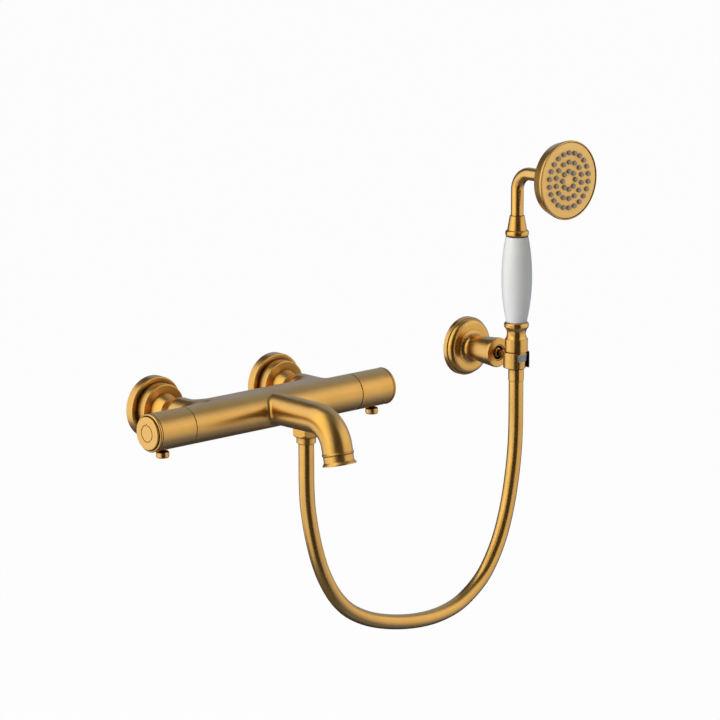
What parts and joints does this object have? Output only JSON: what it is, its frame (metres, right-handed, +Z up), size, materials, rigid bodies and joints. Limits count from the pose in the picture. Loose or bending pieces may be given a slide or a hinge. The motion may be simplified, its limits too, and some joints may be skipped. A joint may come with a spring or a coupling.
{
  "type": "bath shower mixer",
  "caption": "Wall-mounted bath mixer with a round body, a turning handle at each end, a curved spout and a hose to a hand shower in a tilting wall holder.",
  "frame": {"origin": "on the wall plane, midway between the two water inlets", "axes": "+X along the wall to the right as seen from the front, +Y into the wall, +Z up"},
  "size_m": [0.5234, 0.2136, 0.4821],
  "materials": {
    "gold_finish": "brushed gold plating on brass",
    "raw_brass": "machined brass",
    "steel": "zinc-plated steel",
    "white_plastic": "moulded white plastic",
    "grey_plastic": "moulded grey plastic",
    "grey_band": "plain grey plastic band",
    "seal_rubber": "black sealing rubber",
    "ceramic": "white glazed ceramic",
    "hose_sheath": "smooth gold hose sheath"
  },
  "bodies": {
    "mixer": {"mixer_body": "gold_finish", "left_s_union": "raw_brass", "right_s_union": "raw_brass", "union_nuts": "raw_brass", "left_rosette": "gold_finish", "right_rosette": "gold_finish", "neck_sleeves": "gold_finish", "inlet_washers": "seal_rubber", "check_valves": "white_plastic", "flow_cartridge": "white_plastic", "flow_fixed_disc": "ceramic", "flow_cartridge_nut": "raw_brass", "flow_stop_ring": "grey_plastic", "thermostat_cartridge": "white_plastic", "thermostat_nut": "raw_brass", "temperature_stop_ring": "grey_plastic", "cartridge_seals": "seal_rubber", "aerator_housing": "gold_finish", "aerator_insert": "grey_plastic", "aerator_washer": "seal_rubber", "shower_outlet_nipple": "raw_brass", "hose_lower_washer": "seal_rubber", "hose_hex_nut": "gold_finish", "hose_lower_ferrule": "gold_finish", "hose_main": "hose_sheath", "bracket_wall_plate": "steel", "bracket_screws": "steel", "bracket_wall_plugs": "grey_plastic", "bracket_rosette": "gold_finish", "bracket_stem": "gold_finish", "bracket_grub_screw": "steel", "knuckle_seat": "grey_plastic", "knuckle_retainer": "gold_finish"},
    "flow_control": {"flow_handle": "gold_finish", "flow_cap": "gold_finish", "flow_grip_pin": "gold_finish", "flow_screw": "steel", "flow_spindle": "raw_brass", "flow_moving_disc": "ceramic"},
    "temperature_control": {"temperature_handle": "gold_finish", "temperature_cap": "gold_finish", "temperature_grip_pin": "gold_finish", "temperature_screw": "steel", "thermostat_spindle": "raw_brass"},
    "regulator": {"thermostat_sleeve": "raw_brass"},
    "holder": {"holder_cradle": "gold_finish", "hose_upper": "hose_sheath"},
    "hose_end": {"hose_upper_ferrule": "gold_finish"},
    "handset": {"cone_nut": "gold_finish", "cone_band": "grey_band", "hose_upper_washer": "seal_rubber", "handset_tail": "gold_finish", "ceramic_handle": "ceramic", "handle_tie_tube": "raw_brass", "upper_collar": "gold_finish", "gooseneck": "gold_finish", "head_shell": "gold_finish", "spray_plate": "gold_finish", "nozzle_mat": "grey_plastic"}
  },
  "joints": [
    {"name": "flow_turn", "type": "hinge", "parent": "mixer", "child": "flow_control", "pos_m": [-0.125, -0.0845, 0], "axis": [1, 0, 0], "range_deg": [-90, 90]},
    {"name": "temperature_turn", "type": "hinge", "parent": "mixer", "child": "temperature_control", "pos_m": [0.125, -0.0845, 0], "axis": [1, 0, 0], "range_deg": [-120, 120]},
    {"name": "regulator_slide", "type": "slide", "parent": "mixer", "child": "regulator", "axis": [1, 0, 0], "range_m": [-0.0005, 0.0005]},
    {"name": "holder_tilt", "type": "hinge", "parent": "mixer", "child": "holder", "pos_m": [0.336, -0.044, -0.001], "axis": [1, 0, 0], "range_deg": [-15, 15], "deforming": ["hose_main"]},
    {"name": "handset_lift", "type": "slide", "parent": "holder", "child": "hose_end", "axis": [0, 0, 1], "range_m": [0, 0.03], "deforming": ["hose_upper"]},
    {"name": "handset_turn", "type": "hinge", "parent": "hose_end", "child": "handset", "pos_m": [0.336, -0.075, 0], "axis": [0, 0, 1], "range_deg": [-90, 90]}
  ],
  "couplings": [
    {"joint": "regulator_slide", "follows": "temperature_turn", "m_per_rad": 0.000238}
  ]
}
